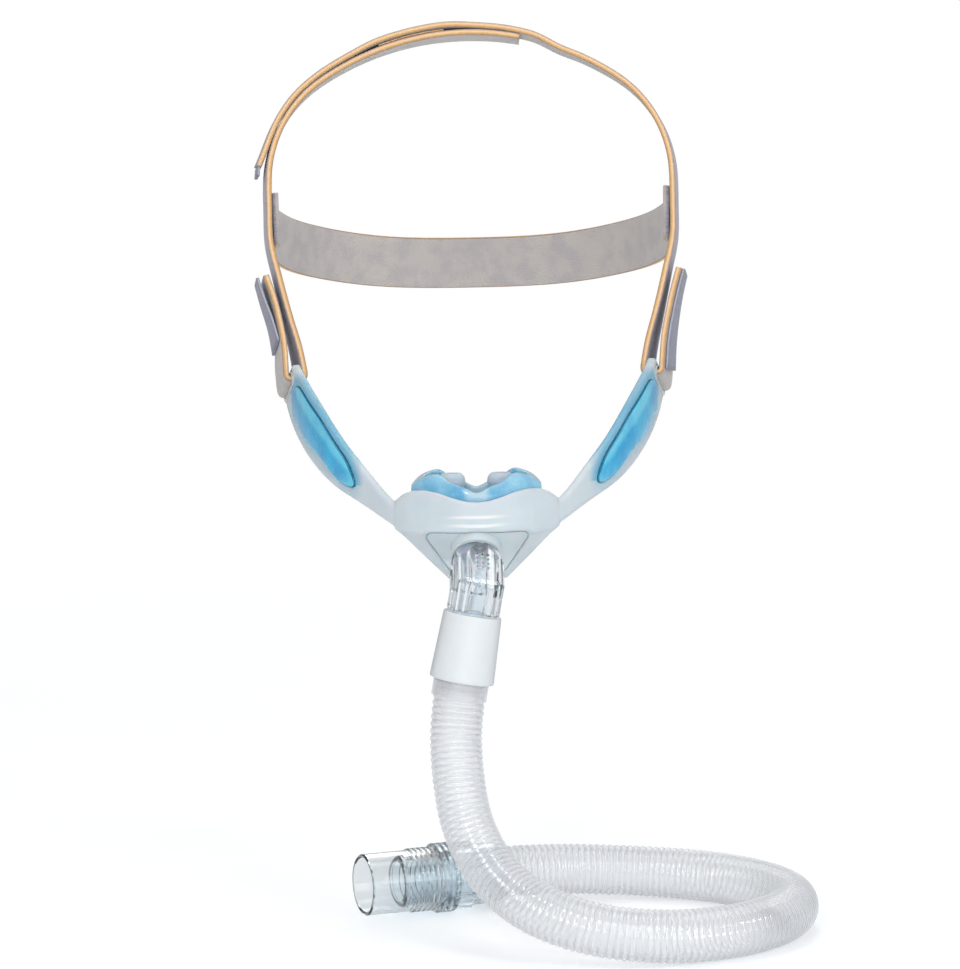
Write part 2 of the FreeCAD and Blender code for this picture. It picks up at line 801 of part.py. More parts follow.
# Frame, gel pads and slot liners
shell = shield_region(0).cut(shield_region(shield_wall))
shield = shell.common(prism_y(shield_outline(), -shield_radius, shield_depth))
window_prism = prism_y(window_outline, -shield_radius, shield_depth)
window = rounded_y(window_prism, window_corner)
boss_hole = along_socket(Part.makeCylinder(boss_radius + clip_fit, 2 * cut_reach, V(0, 0, -cut_reach)))
arm = arm_solid(arm_wall)
opening = lens_prism(0).fuse(slot_prism(liner_wall + liner_fit, cut_reach))
arm = arm.cut(opening).cut(shield_region(shield_wall))
frame = shield.cut([window, boss_hole]).fuse([arm, mirrored(arm)])
export("mask_frame", frame)

gel_pad = arm_solid(arm_wall + 2 * gel_proud).common(lens_prism(gel_fit))
export("gel_pad_right", gel_pad)
export("gel_pad_left", mirrored(gel_pad))

liner_height = arm_wall + 2 * liner_proud
liner = slot_prism(liner_wall, liner_height).cut(slot_prism(0, liner_height + 2))
export("slot_insert_right", liner)
export("slot_insert_left", mirrored(liner))

ring_inner = spigot_radius - snap_ring_depth + running_gap
ring_outer = ring_inner + snap_ring_wall

# Clip: the part of the shield's wall that fills the window, with the socket's boss
clip_shell = shield_region(clip_fit).cut(shield_region(clip_wall + clip_fit))
smaller = rounded_y(window_prism.makeOffsetShape(-clip_fit, 0.01, join=2), window_corner - clip_fit)
boss = along_socket(Part.makeCylinder(boss_radius, boss_length, V(0, 0, -boss_length)))
socket_bore = Part.makeCylinder(spigot_radius + running_gap, 2 * cut_reach, V(0, 0, -cut_reach))
ring_room = Part.makeCylinder(ring_outer + snap_gap, boss_radius, V(0, 0, -boss_length - boss_radius))
clip = clip_shell.common(smaller).fuse(boss).cut([along_socket(socket_bore), along_socket(ring_room)])
export("elbow_clip", clip)

# Cushion, gel rim and pillows
body = cushion_form(0).common(below_wave(2, rim_fit))
deck_corner = V(-shield_radius, -shield_radius, deck_top - deck_wall)
deck = Part.makeBox(2 * shield_radius, 2 * shield_radius, deck_wall, deck_corner)
cavity = cushion_form(cushion_wall).cut(deck)
neck = along_socket(Part.makeCylinder(boss_radius + neck_fit, cut_reach, V(0, 0, -neck_depth)))
rim_inside = cushion_form(rim_width)
rim = cushion_form(0).common(below_wave(1)).cut([below_wave(2), rim_inside])


def pillow(side):
    profile = pillow_profile + [(pillow_bore, pillow_profile[-1][1]), (pillow_bore, 0.0)]
    solid = revolved(profile)
    solid.translate(V(side * pillow_x, pillow_y, deck_top))
    return solid


pillow_right = pillow(1)
pillow_left = pillow(-1)
hole_foot = V(pillow_x, pillow_y, deck_top - 2 * deck_wall)
air_hole = Part.makeCylinder(pillow_bore, 4 * deck_wall, hole_foot)
body = body.cut([cavity, neck, air_hole, mirrored(air_hole)])
export("cushion_body", body)
export("gel_rim", rim)
export("pillow_right", pillow_right)
export("pillow_left", pillow_left)

# Elbow, its snap ring, cuff and top ring
export("elbow", elbow_solid())
ring_low = V(0, 0, running_gap - boss_length - snap_gap - snap_ring_thickness)
ring = Part.makeCylinder(ring_outer, snap_ring_thickness - 2 * running_gap, ring_low)
ring = ring.cut(Part.makeCylinder(ring_inner, snap_ring_thickness, ring_low))
export("elbow_snap_ring", along_socket(ring))
export("swivel_cuff", cuff_solid())
export("hose_top_ring", top_ring_solid())
export("hose", hose_solid())

# Connector
export("connector_sleeve", sleeve_solid())
export("swivel_collar", collar_solid())
export("hose_end_cuff", end_cuff_solid())

# Headgear
export("strap_right", band(right_strap_stations(), strap_wall))
export("strap_left", band(left_strap_stations(), strap_wall))
export("back_strap", back_strap_solid())
tab_lift = strap_wall / 2 + layer_gap + tab_wall / 2
right_tab = raised(strap_loop(outer_line_right), [tab_lift] * 5, tab_width)
export("hook_tab_right", band(right_tab, tab_wall))
left_tab = raised(strap_loop(outer_line_left), [tab_lift + lift for lift in tab_bulge], tab_width)
export("hook_tab_left", mirrored(band(left_tab, tab_wall)))
strip = [oval_station(angle, crown_hooked / 2, hook_width) for angle in hook_angles]
export("crown_hook_strip", band(strip, hook_wall))
end_offset = crown_over + free_end_flare
tab_start = free_end_angle - math.degrees(2 * layer_gap / (head_corner_radius + end_offset))
tab_angles = (tab_start, (tab_start + free_tip_angle) / 2, free_tip_angle)
end_tab = [oval_station(180 - angle, end_offset, tab_width) for angle in tab_angles]
export("crown_end_tab", band(end_tab, tab_wall))
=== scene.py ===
import math

import bmesh
import bpy
import numpy as np
from mathutils import Matrix, Vector
from mathutils.kdtree import KDTree


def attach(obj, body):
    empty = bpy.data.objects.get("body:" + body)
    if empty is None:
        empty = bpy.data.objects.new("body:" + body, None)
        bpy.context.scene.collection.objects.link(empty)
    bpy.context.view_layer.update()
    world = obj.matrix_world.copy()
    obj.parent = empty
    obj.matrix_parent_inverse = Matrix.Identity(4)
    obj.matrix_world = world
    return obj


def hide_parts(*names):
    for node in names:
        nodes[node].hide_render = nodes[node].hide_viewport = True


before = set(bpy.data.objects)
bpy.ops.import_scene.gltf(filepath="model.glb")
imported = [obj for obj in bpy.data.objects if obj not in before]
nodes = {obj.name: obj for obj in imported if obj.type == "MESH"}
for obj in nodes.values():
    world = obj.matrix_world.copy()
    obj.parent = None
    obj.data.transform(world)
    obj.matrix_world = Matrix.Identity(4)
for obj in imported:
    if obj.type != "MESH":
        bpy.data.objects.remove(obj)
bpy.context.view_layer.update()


# Colours are written as they look on a screen
def srgb(r, g, b):
    def channel(c):
        return c / 12.92 if c <= 0.04045 else ((c + 0.055) / 1.055) ** 2.4
    return (channel(r), channel(g), channel(b), 1.0)


pureWhite = (1.0, 1.0, 1.0, 1.0)


class Graph:
    def __init__(self, name):
        self.material = bpy.data.materials.new(name)
        self.material.use_nodes = True
        self.tree = self.material.node_tree
        self.tree.nodes.clear()
        self.output = self.tree.nodes.new("ShaderNodeOutputMaterial")
        self.coords = self.tree.nodes.new("ShaderNodeTexCoord")

    def node(self, kind, inputs=None, **settings):
        made = self.tree.nodes.new(kind)
        for key, value in settings.items():
            setattr(made, key, value)
        for key, value in (inputs or {}).items():
            if isinstance(value, bpy.types.NodeSocket):
                self.tree.links.new(value, made.inputs[key])
            else:
                made.inputs[key].default_value = value
        return made

    def position(self):
        return self.coords.outputs["Object"]

    def attribute(self, name):
        return self.node("ShaderNodeAttribute", attribute_name=name).outputs["Fac"]

    def noise(self, scale, detail=3.0, roughness=0.5, vector=None):
        source = vector or self.position()
        values = {"Vector": source, "Scale": scale, "Detail": detail, "Roughness": roughness}
        return self.node("ShaderNodeTexNoise", values).outputs["Fac"]

    def ramp(self, value, stops):
        made = self.node("ShaderNodeValToRGB", {"Fac": value})
        ramp = made.color_ramp
        while len(ramp.elements) < len(stops):
            ramp.elements.new(0.5)
        for element, (place, color) in zip(ramp.elements, stops):
            element.position = place
            element.color = color
        return made.outputs["Color"]

    def spread(self, value, low, high, toLow=0.0, toHigh=1.0):
        values = {"Value": value, "From Min": low, "From Max": high, "To Min": toLow, "To Max": toHigh}
        return self.node("ShaderNodeMapRange", values, interpolation_type="SMOOTHSTEP").outputs["Result"]

    def math(self, operation, a, b=0.0):
        made = self.node("ShaderNodeMath", {0: a, 1: b}, operation=operation)
        return made.outputs["Value"]

    def bump(self, height, strength, distance, normal=None):
        values = {"Height": height, "Strength": strength, "Distance": distance}
        if normal:
            values["Normal"] = normal
        return self.node("ShaderNodeBump", values).outputs["Normal"]

    def softEdge(self, radius):
        return self.node("ShaderNodeBevel", {"Radius": radius}, samples=4).outputs["Normal"]

    def mix(self, factor, a, b, blend="MIX"):
        made = self.node("ShaderNodeMix", data_type="RGBA", blend_type=blend)
        for socket, value in ((made.inputs[0], factor), (made.inputs[6], a), (made.inputs[7], b)):
            if isinstance(value, bpy.types.NodeSocket):
                self.tree.links.new(value, socket)
            else:
                socket.default_value = value
        return made.outputs[2]

    def shaders(self, share, first, second):
        return self.node("ShaderNodeMixShader", {0: share, 1: first, 2: second}).outputs["Shader"]

    def whiteGlow(self, strength):
        values = {"Color": pureWhite, "Strength": strength}
        return self.node("ShaderNodeEmission", values).outputs["Emission"]

    def finish(self, shader):
        self.tree.links.new(shader, self.output.inputs["Surface"])
        return self.material


def scaled(color, factor):
    return tuple(c * factor for c in color[:3]) + (1.0,)


# Camera: distance, height angle and roll of the photograph, with its focal length in pixels
cameraValues = {
    "distance": 1.5,
    "elevation": 6.0,
    "roll": 1.1,
    "focalPixels": 4261.0,
    "centreX": 476.4,
    "centreY": 490.0,
    "imageWidth": 960.0,
    "imageHeight": 969.0,
    "sensor": 36.0,
    "nearest": 0.05,
    "furthest": 30.0,
}


def makeCamera(values):
    angle = math.radians(values["elevation"])
    roll = math.radians(values["roll"])
    right = Vector((1.0, 0.0, 0.0))
    back = Vector((0.0, -math.cos(angle), math.sin(angle)))
    up = back.cross(right)
    camX = right * math.cos(roll) - up * math.sin(roll)
    camY = right * math.sin(roll) + up * math.cos(roll)
    data = bpy.data.cameras.new("camera")
    data.sensor_width = values["sensor"]
    data.sensor_fit = "AUTO"
    data.lens = values["focalPixels"] * values["sensor"] / values["imageHeight"]
    data.shift_x = (values["imageWidth"] / 2 - values["centreX"]) / values["imageHeight"]
    data.shift_y = (values["centreY"] - values["imageHeight"] / 2) / values["imageHeight"]
    data.clip_start = values["nearest"]
    data.clip_end = values["furthest"]
    camera = bpy.data.objects.new("camera", data)
    bpy.context.scene.collection.objects.link(camera)
    matrix = Matrix((camX, camY, back)).transposed().to_4x4()
    matrix.translation = back * values["distance"]
    camera.matrix_world = matrix
    bpy.context.scene.camera = camera


# Stage: a pale floor that fades into a white surround. The shade is what bent rays find there: the heights
# between which it falls off, and its strength at each
stageValues = {
    "floorHeight": -0.1542,
    "floorHalf": 6.0,
    "floorColor": (0.90, 0.91, 0.92, 1.0),
    "floorCloud": 3.0,
    "floorLift": 0.22,
    "fadeStart": 0.30,
    "fadeEnd": 1.1,
    "skyColor": (0.95, 0.975, 1.0, 1.0),
    "skyStrength": 0.49,
    "bentShade": (0.25, 0.8, 1.0, 0.30),
}

# Soft studio lights, all turned towards the mask
lights = [
    {
        "name": "keyLight",
        "place": (-1.0, -1.4, 1.3),
        "size": (0.9, 0.9),
        "power": 6.0,
        "color": (1.0, 0.99, 0.97),
    },
    {
        "name": "frontLight",
        "place": (-0.3, -1.6, 0.55),
        "size": (0.22, 0.45),
        "power": 4.0,
        "color": (1.0, 1.0, 1.0),
    },
    {
        "name": "lowLight",
        "place": (0.25, -1.5, 0.02),
        "size": (0.9, 0.2),
        "power": 2.6,
        "color": (1.0, 1.0, 1.0),
    },
    {
        "name": "sparkLight",
        "place": (0.80, -1.24, 1.02),
        "size": (0.3, 0.3),
        "power": 2.8,
        "color": (1.0, 1.0, 1.0),
    },
    {
        "name": "fillLight",
        "place": (1.3, -1.2, 0.4),
        "size": (0.8, 1.2),
        "power": 3.8,
        "color": (0.95, 0.98, 1.0),
    },
    {
        "name": "topLight",
        "place": (0.1, 0.1, 1.5),
        "size": (1.2, 0.9),
        "power": 6.0,
        "color": (1.0, 1.0, 1.0),
    },
    {
        "name": "rimLight",
        "place": (0.3, 1.4, 0.7),
        "size": (1.2, 0.7),
        "power": 3.5,
        "color": (1.0, 1.0, 1.0),
    },
]


def addLight(values):
    data = bpy.data.lights.new(values["name"], "AREA")
    data.shape = "RECTANGLE"
    data.size, data.size_y = values["size"]
    data.energy = values["power"]
    data.color = values["color"]
    light = bpy.data.objects.new(values["name"], data)
    bpy.context.scene.collection.objects.link(light)
    light.location = values["place"]
    light.rotation_euler = (-Vector(values["place"])).to_track_quat("-Z", "Y").to_euler()


def makeFloor(values):
    floor = meshPiece("floor", lambda bm: bmesh.ops.create_grid(
        bm, x_segments=1, y_segments=1, size=values["floorHalf"],
        matrix=Matrix.Translation((0, 0, values["floorHeight"]))))
    graph = Graph("floorFinish")
    apart = graph.node("ShaderNodeVectorMath", {0: graph.position()}, operation="LENGTH").outputs["Value"]
    far = graph.spread(apart, values["fadeStart"], values["fadeEnd"])
    cloud = graph.noise(values["floorCloud"], 2.0)
    tint = graph.ramp(cloud, [(0.3, values["floorColor"]), (0.7, scaled(values["floorColor"], 0.99))])
    matt = graph.node("ShaderNodeBsdfPrincipled", {"Base Color": tint, "Roughness": 0.9}).outputs["BSDF"]
    seen = graph.node("ShaderNodeLightPath").outputs["Is Camera Ray"]
    faded = graph.math("MULTIPLY", seen, far)
    lift = graph.math("MULTIPLY", seen, values["floorLift"])
    lifted = graph.node("ShaderNodeAddShader", {0: matt, 1: graph.whiteGlow(lift)}).outputs["Shader"]
    floor.data.materials.append(graph.finish(graph.shaders(faded, lifted, graph.whiteGlow(1.0))))


def makeWorld(values):
    world = bpy.data.worlds.new("softSky")
    bpy.context.scene.world = world
    world.use_nodes = True
    tree = world.node_tree
    tree.nodes.clear()
    output = tree.nodes.new("ShaderNodeOutputWorld")
    sky = tree.nodes.new("ShaderNodeBackground")
    sky.inputs["Color"].default_value = values["skyColor"]
    sky.inputs["Strength"].default_value = values["skyStrength"]
    white = tree.nodes.new("ShaderNodeBackground")
    white.inputs["Color"].default_value = pureWhite
    ray = tree.nodes.new("ShaderNodeLightPath")
    # Rays bent by the clear parts find the surround white near the horizon and darker above and below
    coords = tree.nodes.new("ShaderNodeTexCoord")
    split = tree.nodes.new("ShaderNodeSeparateXYZ")
    tree.links.new(coords.outputs["Generated"], split.inputs["Vector"])
    height = tree.nodes.new("ShaderNodeMath")
    height.operation = "ABSOLUTE"
    tree.links.new(split.outputs["Z"], height.inputs[0])
    shade = tree.nodes.new("ShaderNodeMapRange")
    shade.interpolation_type = "SMOOTHSTEP"
    for key, value in zip(("From Min", "From Max", "To Min", "To Max"), values["bentShade"]):
        shade.inputs[key].default_value = value
    tree.links.new(height.outputs["Value"], shade.inputs["Value"])
    strength = tree.nodes.new("ShaderNodeMath")
    strength.operation = "MAXIMUM"
    tree.links.new(shade.outputs["Result"], strength.inputs[0])
    tree.links.new(ray.outputs["Is Camera Ray"], strength.inputs[1])
    tree.links.new(strength.outputs["Value"], white.inputs["Strength"])
    clear = tree.nodes.new("ShaderNodeMath")
    clear.operation = "MAXIMUM"
    tree.links.new(ray.outputs["Is Camera Ray"], clear.inputs[0])
    tree.links.new(ray.outputs["Is Transmission Ray"], clear.inputs[1])
    mix = tree.nodes.new("ShaderNodeMixShader")
    tree.links.new(clear.outputs["Value"], mix.inputs[0])
    tree.links.new(sky.outputs["Background"], mix.inputs[1])
    tree.links.new(white.outputs["Background"], mix.inputs[2])
    tree.links.new(mix.outputs["Shader"], output.inputs["Surface"])
    bpy.context.scene.view_settings.view_transform = "Standard"


# Mesh helpers
def meshPiece(name, build):
    mesh = bpy.data.meshes.new(name)
    bm = bmesh.new()
    build(bm)
    bm.normal_update()
    bm.to_mesh(mesh)
    bm.free()
    for polygon in mesh.polygons:
        polygon.use_smooth = True
    piece = bpy.data.objects.new(name, mesh)
    bpy.context.scene.collection.objects.link(piece)
    return piece


def paint(piece, material):
    piece.data.materials.clear()
    piece.data.materials.append(material)


def nodeCopy(bm, nodeName):
    bm.from_mesh(nodes[nodeName].data)
    bmesh.ops.remove_doubles(bm, verts=bm.verts, dist=1e-6)


def sweptGrid(bm, rows, columns, place):
    # A grid whose columns close round the piece and whose rows follow it
    made = bmesh.ops.create_grid(bm, x_segments=columns, y_segments=rows, size=0.5)
    byPlace = {}
    for v in made["verts"]:
        byPlace[v] = (round((v.co.y + 0.5) * rows), round((v.co.x + 0.5) * columns) % columns)
    for v, (row, column) in byPlace.items():
        place(v, row, column)
    bmesh.ops.remove_doubles(bm, verts=bm.verts, dist=1e-7)
    bmesh.ops.recalc_face_normals(bm, faces=bm.faces)


def softCopy(name, nodeName, voxel, passes):
    # The node's form as one even skin with rounded edges, as a moulding has them
    piece = meshPiece(name, lambda bm: nodeCopy(bm, nodeName))
    skin = piece.modifiers.new("evenSkin", "REMESH")
    skin.mode = "VOXEL"
    skin.voxel_size = voxel
    skin.use_smooth_shade = True
    ease = piece.modifiers.new("softEdges", "SMOOTH")
    ease.factor = 0.5
    ease.iterations = passes
    bpy.context.view_layer.update()
    held = piece.evaluated_get(bpy.context.evaluated_depsgraph_get())
    mesh = bpy.data.meshes.new_from_object(held)
    piece.modifiers.clear()
    old = piece.data
    piece.data = mesh
    bpy.data.meshes.remove(old)
    mesh.name = name
    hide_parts(nodeName)
    return piece


def pointsOf(piece):
    found = np.zeros(len(piece.data.vertices) * 3)
    piece.data.vertices.foreach_get("co", found)
    return found.reshape(-1, 3)


def writeAttribute(piece, name, values):
    attribute = piece.data.attributes.new(name, "FLOAT", "POINT")
    attribute.data.foreach_set("value", np.asarray(values, np.float32))


# Hose: its route is the CAD hose's, in metres. A rib's profile gives its height at even steps along it
hoseValues = {
    "route": [
        (-0.00523, -0.02672, -0.05712),
        (-0.00862, -0.02704, -0.07531),
        (-0.00880, -0.03240, -0.09350),
        (-0.00510, -0.04540, -0.11520),
        (0.00860, -0.06470, -0.13260),
        (0.03290, -0.07900, -0.14130),
        (0.06210, -0.08040, -0.14480),
        (0.09080, -0.06620, -0.14505),
        (0.10810, -0.03800, -0.14505),
        (0.10740, -0.00490, -0.14505),
        (0.08740, 0.02520, -0.14505),
        (0.05400, 0.03870, -0.14440),
        (0.01874, 0.03138, -0.14160),
        (-0.00422, 0.02201, -0.14160),
    ],
    "exit": (-0.00642, -0.02683, -0.06351),
    "radius": 0.00915,
    "ribDepth": 0.0005,
    "ribPitch": 0.00235,
    "wall": 0.0006,
    "sides": 40,
    "ribProfile": [0.0, 0.6, 1.0, 1.0, 0.6, 0.0],
}


def splineLine(points):
    curve = bpy.data.curves.new("routeLine", "CURVE")
    curve.dimensions = "3D"
    curve.resolution_u = 64
    spline = curve.splines.new("NURBS")
    spline.points.add(len(points) - 1)
    for target, point in zip(spline.points, points):
        target.co = (*point, 1.0)
    spline.order_u = 3
    spline.use_endpoint_u = True
    holder = bpy.data.objects.new("routeLine", curve)
    bpy.context.scene.collection.objects.link(holder)
    bpy.context.view_layer.update()
    mesh = bpy.data.meshes.new_from_object(holder)
    line = [v.co.copy() for v in mesh.vertices]
    bpy.data.objects.remove(holder)
    bpy.data.curves.remove(curve)
    bpy.data.meshes.remove(mesh)
    return line


def evenPoints(line, step):
    total = sum((b - a).length for a, b in zip(line, line[1:]))
    count = max(2, round(total / step))
    step = total / count
    result = [line[0].copy()]
    walked = 0.0
    index = 0
    for i in range(1, count):
        goal = i * step
        while walked + (line[index + 1] - line[index]).length < goal:
            walked += (line[index + 1] - line[index]).length
            index += 1
        a, b = line[index], line[index + 1]
        result.append(a.lerp(b, (goal - walked) / (b - a).length))
    result.append(line[-1].copy())
    return result, total


def turningFrames(points):
    frames = []
    side = None
    for i, point in enumerate(points):
        along = (points[min(i + 1, len(points) - 1)] - points[max(i - 1, 0)]).normalized()
        if side is None:
            side = along.cross(Vector((0, 0, 1)) if abs(along.z) < 0.9 else Vector((1, 0, 0))).normalized()
        side = (side - along * side.dot(along)).normalized()
        frames.append((point, side, along.cross(side).normalized()))
    return frames


def makeHose(values):
    profile = values["ribProfile"]
    line = splineLine(values["route"])
    points, total = evenPoints(line, values["ribPitch"] / len(profile))
    frames = turningFrames(points)
    last = len(points) - 1

    def build(bm):
        rib = bm.verts.layers.float.new("rib")

        def place(v, row, column):
            outside = row <= last
            index = row if outside else 2 * last + 1 - row
            height = profile[index % len(profile)]
            inset = 0.0 if outside else values["wall"]
            radius = values["radius"] - values["ribDepth"] * (1 - height) - inset
            angle = 2 * math.pi * column / values["sides"]
            point, side, up = frames[index]
            v.co = point + side * (radius * math.cos(angle)) + up * (radius * math.sin(angle))
            v[rib] = height
        # The rows run down the outside, round the end and back inside, and the first and last are joined
        sweptGrid(bm, 2 * last + 1, values["sides"], place)
        bmesh.ops.bridge_loops(bm, edges=[e for e in bm.edges if e.is_boundary])
        bmesh.ops.recalc_face_normals(bm, faces=bm.faces)
    hose = meshPiece("hoseRibbed", build)
    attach(hose, "hose")
    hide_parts("hose")
    print("hose length", round(total, 4), "ribs", round(total / values["ribPitch"]))
    return hose


# Strips of cloth: read along the four long edges of a node, then swept again with a finer section, whose
# corners are in half widths and half thicknesses
clothValues = {
    "sharpAngle": 1.2,
    "step": 0.0022,
    "headMiddle": (0.0, 0.09, 0.06),
    "strapSection": [
        (-1.0, -0.55), (-1.0, 0.0), (-1.0, 0.55), (-0.985, 0.88), (-0.95, 1.0),
        (-0.5, 1.0), (0.0, 1.0), (0.5, 1.0), (0.95, 1.0), (0.985, 0.88),
        (1.0, 0.55), (1.0, 0.0), (1.0, -0.55), (0.985, -0.88), (0.95, -1.0),
        (0.5, -1.0), (0.0, -1.0), (-0.5, -1.0), (-0.95, -1.0), (-0.985, -0.88),
    ],
}


def stripStations(nodeName, sharpAngle):
    bm = bmesh.new()
    nodeCopy(bm, nodeName)
    sharp = {e for e in bm.edges if len(e.link_faces) == 2 and e.calc_face_angle(0.0) > sharpAngle}

    def neighbours(v):
        return [e.other_vert(v) for e in v.link_edges if e in sharp]
    corners = {v for v in bm.verts if len(neighbours(v)) == 3}
    start = min(corners, key=lambda v: (round(v.co.z, 5), round(v.co.y, 5), round(v.co.x, 5)))
    beside = sorted((v for v in neighbours(start) if v in corners), key=lambda v: (v.co - start.co).length)
    near, wide = beside[0], beside[-1]
    far = [v for v in neighbours(near) if v in corners and v in neighbours(wide) and v is not start][0]
    rails = []
    for corner in (start, near, far, wide):
        rail = [corner]
        ahead = [v for v in neighbours(corner) if v not in corners][0]
        while ahead not in corners:
            rail.append(ahead)
            ahead = [v for v in neighbours(ahead) if v is not rail[-2]][0]
        rail.append(ahead)
        rails.append([v.co.copy() for v in rail])
    bm.free()
    stations = []
    for a, b, c, d in zip(*rails):
        stations.append(((a + b + c + d) / 4, (c + d - a - b) / 4, (b + c - a - d) / 4))
    return stations


def easedStations(stations, step):
    # A smooth line through the stations, with tangents from their spacing
    at = [0.0]
    for near, far in zip(stations, stations[1:]):
        at.append(at[-1] + (far[0] - near[0]).length)
    rows = [np.array([*s[0], *s[1], *s[2]]) for s in stations]
    slopes = []
    for i in range(len(rows)):
        a, b = max(i - 1, 0), min(i + 1, len(rows) - 1)
        if a == i or b == i:
            slopes.append((rows[b] - rows[a]) / (at[b] - at[a]))
            continue
        before = (rows[i] - rows[a]) / (at[i] - at[a])
        after = (rows[b] - rows[i]) / (at[b] - at[i])
        slopes.append((before * (at[b] - at[i]) + after * (at[i] - at[a])) / (at[b] - at[a]))
    eased = []
    for i in range(len(rows) - 1):
        span = at[i + 1] - at[i]
        count = max(2, math.ceil(span / step))
        for k in range(count if i < len(rows) - 2 else count + 1):
            t = k / count
            value = (rows[i] * (2 * t**3 - 3 * t**2 + 1) + slopes[i] * span * (t**3 - 2 * t**2 + t)
                     + rows[i + 1] * (3 * t**2 - 2 * t**3) + slopes[i + 1] * span * (t**3 - t**2))
            eased.append((at[i] + t * span, Vector(value[:3]), Vector(value[3:6]), Vector(value[6:])))
    return eased


def stripPiece(name, nodeName, bodyName, values):
    stations = stripStations(nodeName, values["sharpAngle"])
    halfWall = stations[0][2].length
    rows = easedStations(stations, values["step"])
    section = values["strapSection"]
    # The outward face is the one away from the head along the longer part of the strip
    middle = rows[2 * len(rows) // 3]
    outward = 1.0 if middle[3].dot(middle[1] - Vector(values["headMiddle"])) > 0 else -1.0

    def build(bm):
        layers = {key: bm.verts.layers.float.new(key) for key in ("across", "through", "along")}

        def place(v, row, column):
            along, centre, halfWidth, halfThick = rows[row]
            a, t = section[column]
            v.co = centre + halfWidth * a + halfThick.normalized() * (halfWall * t)
            v[layers["across"]] = a
            v[layers["through"]] = t * outward
            v[layers["along"]] = along
        sweptGrid(bm, len(rows) - 1, len(section), place)
        bmesh.ops.holes_fill(bm, edges=[e for e in bm.edges if e.is_boundary], sides=0)
        bmesh.ops.recalc_face_normals(bm, faces=bm.faces)
    piece = meshPiece(name, build)
    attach(piece, bodyName)
    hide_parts(nodeName)
    width = 2 * stations[len(stations) // 2][1].length
    return piece, (width, rows[-1][0])


# Finishes
def highlightStreaks(graph, values):
    # Painted highlight streaks: wavy lines from side to side, kept to the middle of the shield. At a scale
    # of 1 they are pi / 10 apart
    bands = graph.node("ShaderNodeTexWave", {
        "Vector": graph.position(),
        "Scale": math.pi / 10 / values["pitch"],
        "Distortion": 2.0,
        "Detail": 2.0,
        "Detail Scale": 0.6,
    }, wave_type="BANDS", bands_direction="Z").outputs["Fac"]
    split = graph.node("ShaderNodeSeparateXYZ", {0: graph.position()})
    height = split.outputs["Z"]
    aside = graph.math("ABSOLUTE", split.outputs["X"])
    inside = graph.spread(aside, values["near"], values["far"], values["strength"], 0.0)
    above = graph.spread(height, values["low"], values["low"] + values["fade"])
    below = graph.spread(height, values["high"] - values["fade"], values["high"], 1.0, 0.0)
    masked = graph.math("MULTIPLY", inside, graph.math("MULTIPLY", above, below))
    return graph.math("MULTIPLY", graph.spread(bands, 0.45, 0.95), masked)


def softSilicone(name, values):
    # Frosted: cloudy inside and finely matt outside
    graph = Graph(name)
    base = graph.ramp(graph.noise(72.0, 4.0), [(0.35, values["color"]), (0.70, values["deep"])])
    # Painted highlight: white streaks across the middle of the shield
    if "lines" in values:
        base = graph.mix(highlightStreaks(graph, values["lines"]), base, pureWhite)
    if "glow" in values:
        # Painted light: the gel's blue on the silicone beside each pad
        base = graph.mix(graph.attribute("gelGlow"), base, values["glow"])
    fine = graph.noise(900.0, 2.0)
    body = graph.node("ShaderNodeBsdfPrincipled", {
        "Base Color": base,
        "Roughness": values["roughness"],
        "IOR": 1.41,
        "Subsurface Weight": 0.4,
        "Subsurface Scale": 0.003,
        "Normal": graph.bump(fine, 0.10, 0.0002, graph.softEdge(values["edgeRadius"])),
    }).outputs["BSDF"]
    through = graph.node("ShaderNodeBsdfTransparent", {"Color": (0.94, 0.97, 0.99, 1.0)}).outputs["BSDF"]
    return graph.finish(graph.shaders(values["clear"], body, through))


def gelFinish(name, values):
    # Brighter and deeper in clouds, darker where rimShade says and paler where paleShade says
    graph = Graph(name)
    speck = graph.noise(1500.0, 3.0, 0.7)
    cloud = graph.noise(110.0, 3.0)
    body = graph.ramp(cloud, [(0.38, values["middle"]), (0.62, values["bright"])])
    stray = graph.math("MULTIPLY", graph.math("SUBTRACT", cloud, 0.5), 0.5)
    uneven = graph.math("ADD", graph.attribute("paleShade"), stray)
    body = graph.mix(graph.spread(uneven, 0.25, 0.75, 0.0, 0.8), body, values["pale"])
    rim = graph.spread(graph.attribute("rimShade"), 0.15, 0.75)
    tint = graph.mix(rim, body, values["edge"])
    tint = graph.mix(graph.spread(speck, 0.55, 0.72, 0.0, 0.22), tint, values["speck"])
    shader = graph.node("ShaderNodeBsdfPrincipled", {
        "Base Color": tint,
        "Roughness": values["roughness"],
        "IOR": 1.42,
        "Subsurface Weight": 0.3,
        "Subsurface Scale": 0.003,
        "Coat Weight": 0.5,
        "Coat Roughness": 0.12,
        "Normal": graph.bump(speck, 0.10, 0.0002),
    })
    return graph.finish(shader.outputs["BSDF"])


def clearPlastic(name, values):
    # Light bends through the walls, and falls through them onto what stands behind
    graph = Graph(name)
    wave = graph.noise(180.0, 2.0)
    glass = graph.node("ShaderNodeBsdfPrincipled", {
        "Base Color": values["color"],
        "Roughness": values["roughness"],
        "IOR": 1.49,
        "Transmission Weight": 1.0,
        "Normal": graph.bump(wave, values["waves"], 0.0005, graph.softEdge(values["edgeRadius"])),
    }).outputs["BSDF"]
    through = graph.node("ShaderNodeBsdfTransparent", {"Color": (0.90, 0.93, 0.95, 1.0)}).outputs["BSDF"]
    shadow = graph.node("ShaderNodeLightPath").outputs["Is Shadow Ray"]
    return graph.finish(graph.shaders(shadow, glass, through))


